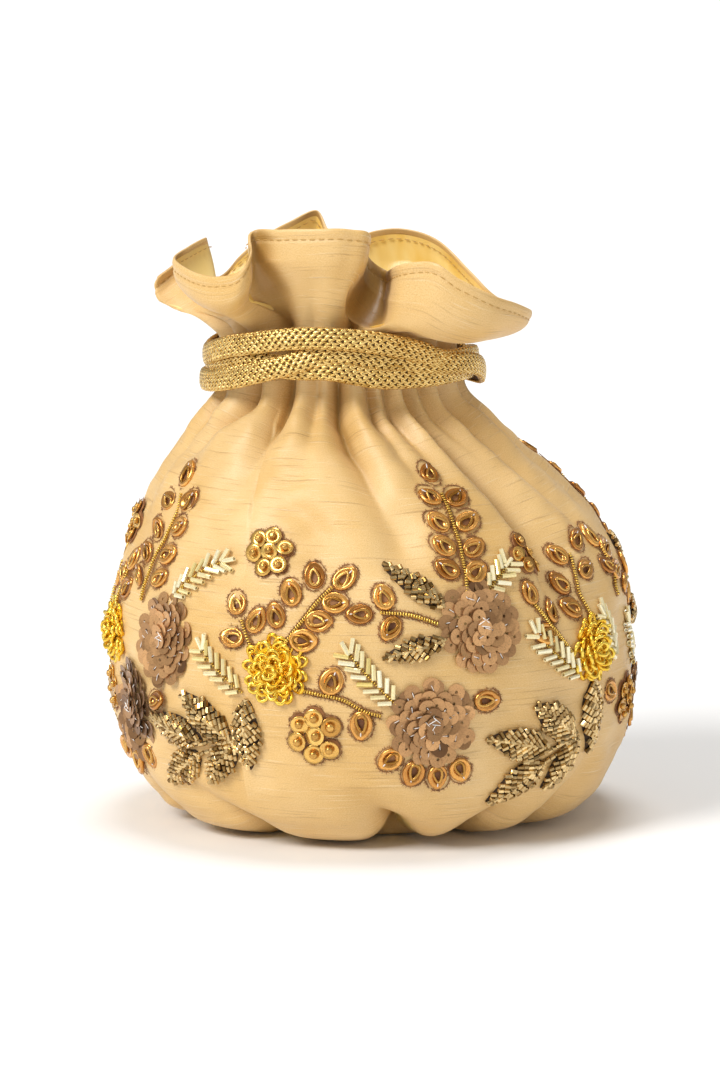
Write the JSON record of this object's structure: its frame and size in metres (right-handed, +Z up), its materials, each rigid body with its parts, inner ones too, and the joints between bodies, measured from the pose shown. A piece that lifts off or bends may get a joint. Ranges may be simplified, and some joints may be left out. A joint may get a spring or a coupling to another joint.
{
  "type": "drawstring pouch bag",
  "caption": "Round-bellied silk drawstring pouch with a ruffled open mouth, a gathered neck held by a wound cord, a satin lining and beaded floral embroidery.",
  "frame": {"origin": "middle of the base, on the surface that the bag stands on", "axes": "+Z up through the neck, -Y the front face with the main spray, +X to the right seen from the front"},
  "size_m": [0.1706, 0.16, 0.1878],
  "materials": {
    "silk": "raw silk, slubbed plain weave, soft sheen",
    "lining": "glossy satin",
    "cord": "flat tube knitted from metallic thread",
    "sequins": "satin metallised discs",
    "wire": "bright coiled wire",
    "bugles": "clear tube beads with a silver-gold lining",
    "beads": "faceted metallic beads",
    "foil": "padded metallic foil with thread edging"
  },
  "bodies": {
    "root": {"wire_flower_1": "wire", "flower_sprig_1": "foil", "bugle_leaf_1": "bugles", "bead_leaves_1": "beads", "bead_leaf_1": "beads", "sequin_flower_upper_1": "sequins", "sequin_flower_lower_1": "sequins", "tall_sprig_1": "foil", "upper_berries_1": "foil", "lower_berries_1": "foil", "wire_flower_2": "wire", "flower_sprig_2": "foil", "bugle_leaf_2": "bugles", "bead_leaves_2": "beads", "bead_leaf_2": "beads", "sequin_flower_upper_2": "sequins", "sequin_flower_lower_2": "sequins", "tall_sprig_2": "foil", "upper_berries_2": "foil", "lower_berries_2": "foil", "wire_flower_3": "wire", "flower_sprig_3": "foil", "bugle_leaf_3": "bugles", "bead_leaves_3": "beads", "bead_leaf_3": "beads", "sequin_flower_upper_3": "sequins", "sequin_flower_lower_3": "sequins", "tall_sprig_3": "foil", "upper_berries_3": "foil", "lower_berries_3": "foil", "wire_flower_4": "wire", "flower_sprig_4": "foil", "bugle_leaf_4": "bugles", "bead_leaves_4": "beads", "bead_leaf_4": "beads", "sequin_flower_upper_4": "sequins", "sequin_flower_lower_4": "sequins", "tall_sprig_4": "foil", "upper_berries_4": "foil", "lower_berries_4": "foil", "wire_flower_5": "wire", "flower_sprig_5": "foil", "bugle_leaf_5": "bugles", "bead_leaves_5": "beads", "bead_leaf_5": "beads", "sequin_flower_upper_5": "sequins", "sequin_flower_lower_5": "sequins", "tall_sprig_5": "foil", "upper_berries_5": "foil", "lower_berries_5": "foil", "silk_body": "silk", "satin_lining": "lining", "base_disc": "silk", "drawcord": "cord", "cord_knot": "cord", "cord_tail_left": "cord", "cord_tail_right": "cord", "stopper_knot_left": "cord", "stopper_knot_right": "cord"}
  },
  "joints": []
}
